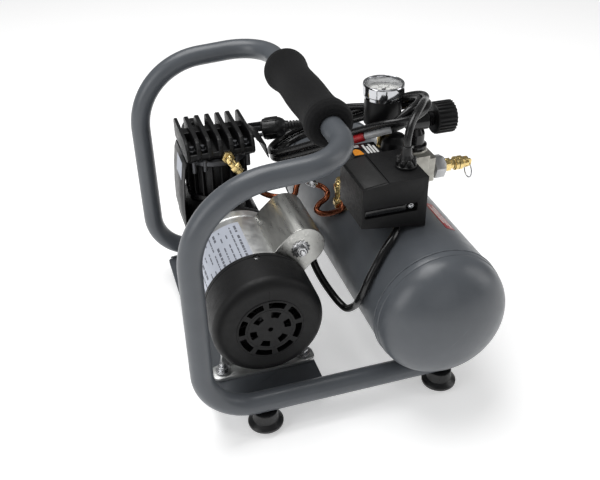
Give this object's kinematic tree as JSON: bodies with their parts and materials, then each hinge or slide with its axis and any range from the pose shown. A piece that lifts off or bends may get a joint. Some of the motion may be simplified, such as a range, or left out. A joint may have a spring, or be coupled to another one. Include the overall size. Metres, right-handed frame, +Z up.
{
  "type": "portable air compressor",
  "caption": "Hand-carried electric air compressor: air tank beside a motor-driven piston pump in a bent-tube carry frame, with gauge, regulator and pressure switch.",
  "frame": {"origin": "centre of the footprint at floor level, under the four feet", "axes": "+X from the motor side to the tank side, +Y along the tank and motor from the fan end to the pump end, +Z up"},
  "size_m": [0.3654, 0.4146, 0.3168],
  "materials": {
    "grey_paint": "satin mid-grey powder coat",
    "black_foam": "matt closed-cell foam sleeve",
    "black_rubber": "smooth moulded rubber",
    "black_plastic": "fine moulded texture",
    "black_cast": "satin black paint on cast metal",
    "silver_cast": "satin silver casting and pressing",
    "zinc": "matt die-cast zinc",
    "steel": "bright zinc-plated steel",
    "laminated": "dull laminated steel",
    "brass": "machined brass",
    "copper": "drawn copper tube",
    "chrome": "polished",
    "glass": "clear",
    "red_plastic": "moulded"
  },
  "bodies": {
    "root": {"front_hoop": "grey_paint", "rear_hoop": "grey_paint", "handle_tube": "grey_paint", "base_plate": "grey_paint", "tank_barrel": "grey_paint", "tank_end_front": "grey_paint", "tank_end_rear": "grey_paint", "handle_grip": "black_foam", "foot_front_left": "black_rubber", "foot_front_right": "black_rubber", "foot_rear_left": "black_rubber", "foot_rear_right": "black_rubber", "cable_gland": "black_rubber", "motor_cable": "black_rubber", "power_cord_lead": "black_rubber", "power_cord_hank": "black_rubber", "power_cord_tail": "black_rubber", "power_plug": "black_rubber", "fan_cover": "black_plastic", "capacitor": "black_plastic", "head_shroud": "black_plastic", "intake_filter": "black_plastic", "pressure_switch_cover": "black_plastic", "pressure_switch_base": "black_plastic", "regulator_body": "black_plastic", "crankcase": "black_cast", "cylinder": "black_cast", "cylinder_head": "black_cast", "motor_housing": "silver_cast", "motor_foot_front": "silver_cast", "motor_foot_rear": "silver_cast", "capacitor_cover": "silver_cast", "crankcase_cover": "silver_cast", "valve_plate": "zinc", "manifold": "zinc", "outlet_adapter": "zinc", "front_bearing": "steel", "rear_bearing": "steel", "motor_bolt_left": "steel", "motor_bolt_right": "steel", "stator": "laminated", "drain_valve_body": "brass", "head_elbow": "brass", "check_valve": "brass", "safety_valve_body": "brass", "quick_coupler": "brass", "discharge_tube": "copper", "gauge_case": "chrome", "gauge_lens": "glass"},
    "rotor_assembly": {"rotor": "laminated", "cooling_fan": "black_plastic", "crank": "steel"},
    "piston_assembly": {"piston": "silver_cast"},
    "regulator_knob": {"regulator_knob": "black_plastic"},
    "gauge_needle": {"gauge_needle": "black_plastic"},
    "switch_lever": {"switch_lever": "red_plastic"},
    "safety_valve_stem": {"safety_valve_stem": "brass"},
    "pull_ring": {"pull_ring": "steel"},
    "coupler_sleeve": {"coupler_sleeve": "steel"},
    "drain_handle": {"drain_handle": "brass"}
  },
  "joints": [
    {"name": "rotor_spin", "type": "hinge", "parent": "root", "child": "rotor_assembly", "pos_m": [-0.09625, 0, 0.107], "axis": [0, 1, 0], "continuous": true},
    {"name": "piston_slide", "type": "slide", "parent": "root", "child": "piston_assembly", "axis": [0, 0, 1], "range_m": [-0.009, 0.009]},
    {"name": "regulator_turn", "type": "hinge", "parent": "root", "child": "regulator_knob", "pos_m": [0.13225, 0.008, 0.238], "axis": [1, 0, 0], "range_deg": [0, 720]},
    {"name": "needle_turn", "type": "hinge", "parent": "root", "child": "gauge_needle", "pos_m": [0.07225, 0.008, 0.2786], "axis": [0, 0, -1], "range_deg": [0, 270], "stiffness_Nm_per_rad": 0.0005},
    {"name": "lever_turn", "type": "hinge", "parent": "root", "child": "switch_lever", "pos_m": [0.07355, -0.084, 0.208], "axis": [1, 0, 0], "range_deg": [-30, 30]},
    {"name": "safety_pull", "type": "slide", "parent": "root", "child": "safety_valve_stem", "axis": [1, 0, 0], "range_m": [0, 0.003], "stiffness_N_per_m": 800, "springref_m": -0.003},
    {"name": "ring_swing", "type": "hinge", "parent": "safety_valve_stem", "child": "pull_ring", "pos_m": [0.18035, 0.002, 0.1768], "axis": [0, 1, 0], "range_deg": [-110, 25]},
    {"name": "sleeve_slide", "type": "slide", "parent": "root", "child": "coupler_sleeve", "axis": [0, -1, 0], "range_m": [0, 0.0035], "stiffness_N_per_m": 400, "springref_m": -0.004},
    {"name": "drain_turn", "type": "hinge", "parent": "root", "child": "drain_handle", "pos_m": [0.09125, -0.12, 0.046], "axis": [0, 0, 1], "range_deg": [0, 180]}
  ]
}
